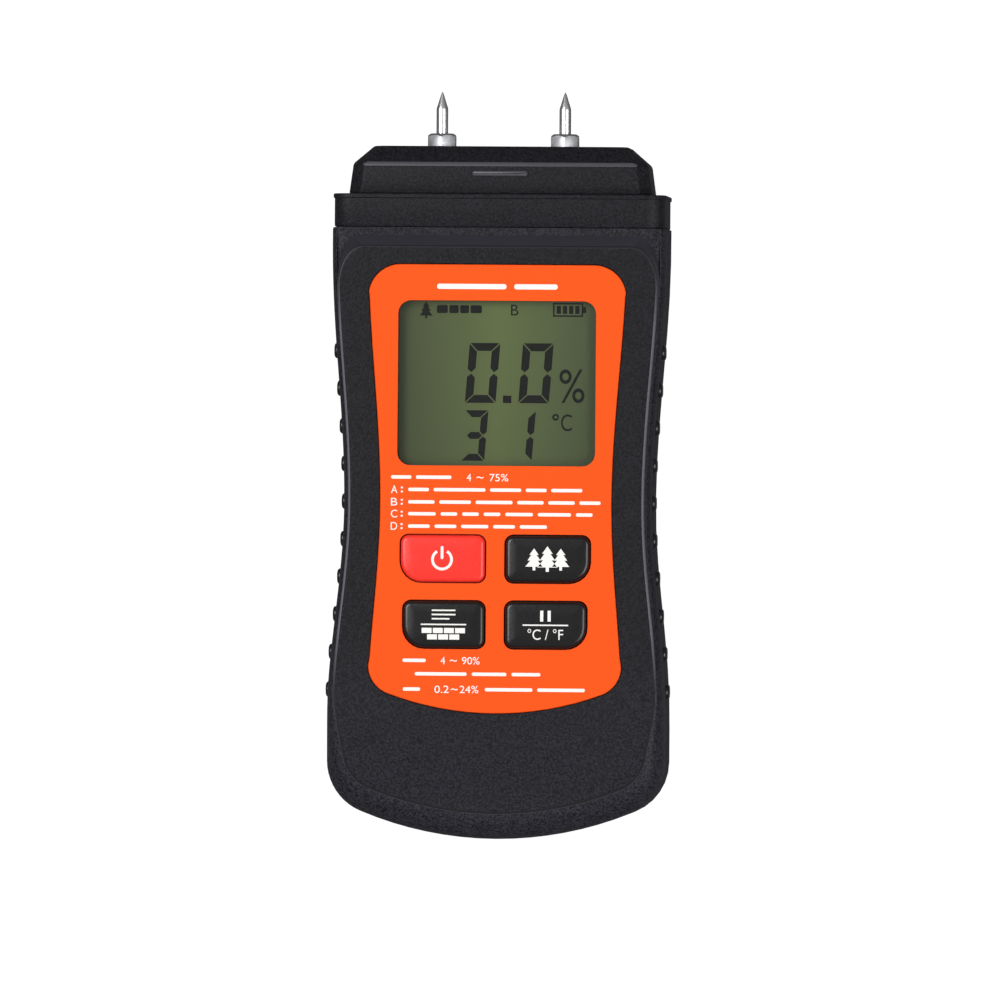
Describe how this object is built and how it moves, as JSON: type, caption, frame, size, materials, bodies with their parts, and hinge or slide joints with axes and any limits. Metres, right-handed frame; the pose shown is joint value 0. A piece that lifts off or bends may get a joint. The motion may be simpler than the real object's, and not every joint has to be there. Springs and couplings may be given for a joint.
{
  "type": "pin moisture meter",
  "caption": "Handheld pin-type moisture meter with a display, an orange front label, keys, two steel test pins and a sliding battery door.",
  "frame": {"origin": "centre of the whole meter's footprint, on the plane that its back face rests on", "axes": "+Y along the case from its foot to the pins, +Z out of the front face, +X across the case to the user's right as the front is read"},
  "size_m": [0.0698, 0.1514, 0.031],
  "materials": {
    "case_abs": "fine moulded grain, matt",
    "head_abs": "smooth moulded, satin",
    "label_orange": "printed overlay film, satin",
    "window_clear": "clear acrylic",
    "lcd_glass": "grey-green liquid crystal glass with dark segments",
    "frame_white": "white moulded plastic",
    "backlight_acrylic": "diffusing acrylic",
    "zebra_rubber": "striped elastomer connector",
    "board_green": "solder resist",
    "silicone_grey": "moulded silicone",
    "carbon_rubber": "conductive carbon rubber",
    "key_red": "smooth moulded key, satin",
    "key_black": "smooth moulded key, satin",
    "pin_nickel": "nickel plated steel",
    "nut_nickel": "nickel plated steel",
    "brass": "turned and rolled brass",
    "cell_jacket": "printed plastic sleeve, plain blue grey",
    "spring_steel": "nickel plated spring steel",
    "screw_steel": "zinc plated steel",
    "component_black": "moulded epoxy",
    "component_mixed": "ceramic and metal cans"
  },
  "bodies": {
    "case": {"front_shell": "case_abs", "back_shell": "case_abs", "sensor_head": "head_abs", "label_overlay": "label_orange", "display_window": "window_clear", "display_glass": "lcd_glass", "display_frame": "frame_white", "backlight_panel": "backlight_acrylic", "upper_zebra_strip": "zebra_rubber", "lower_zebra_strip": "zebra_rubber", "main_board": "board_green", "keypad_mat": "silicone_grey", "power_dome": "silicone_grey", "wood_dome": "silicone_grey", "wall_dome": "silicone_grey", "hold_dome": "silicone_grey", "left_pin": "pin_nickel", "right_pin": "pin_nickel", "pin_nuts": "nut_nickel", "left_socket": "brass", "right_socket": "brass", "left_lead_strap": "brass", "right_lead_strap": "brass", "battery_cell_1": "cell_jacket", "battery_cell_2": "cell_jacket", "battery_cell_3": "cell_jacket", "battery_springs": "spring_steel", "spring_plates": "spring_steel", "button_plates": "spring_steel", "case_screws": "screw_steel", "board_screws": "screw_steel", "buzzer": "component_black", "microcontroller": "component_black", "board_components": "component_mixed", "temperature_sensor": "component_black"},
    "power_key": {"power_key": "key_red", "power_pill": "carbon_rubber"},
    "wood_key": {"wood_key": "key_black", "wood_pill": "carbon_rubber"},
    "wall_key": {"wall_key": "key_black", "wall_pill": "carbon_rubber"},
    "hold_key": {"hold_key": "key_black", "hold_pill": "carbon_rubber"},
    "battery_door": {"battery_door": "case_abs"}
  },
  "joints": [
    {"name": "power_key_press", "type": "slide", "parent": "case", "child": "power_key", "axis": [0, 0, -1], "range_m": [0, 0.0009], "stiffness_N_per_m": 900, "springref_m": -0.0004, "deforming": ["power_dome"]},
    {"name": "wood_key_press", "type": "slide", "parent": "case", "child": "wood_key", "axis": [0, 0, -1], "range_m": [0, 0.0009], "stiffness_N_per_m": 900, "springref_m": -0.0004, "deforming": ["wood_dome"]},
    {"name": "wall_key_press", "type": "slide", "parent": "case", "child": "wall_key", "axis": [0, 0, -1], "range_m": [0, 0.0009], "stiffness_N_per_m": 900, "springref_m": -0.0004, "deforming": ["wall_dome"]},
    {"name": "hold_key_press", "type": "slide", "parent": "case", "child": "hold_key", "axis": [0, 0, -1], "range_m": [0, 0.0009], "stiffness_N_per_m": 900, "springref_m": -0.0004, "deforming": ["hold_dome"]},
    {"name": "battery_door_slide", "type": "slide", "parent": "case", "child": "battery_door", "axis": [0, -1, 0], "range_m": [0, 0.062]}
  ]
}
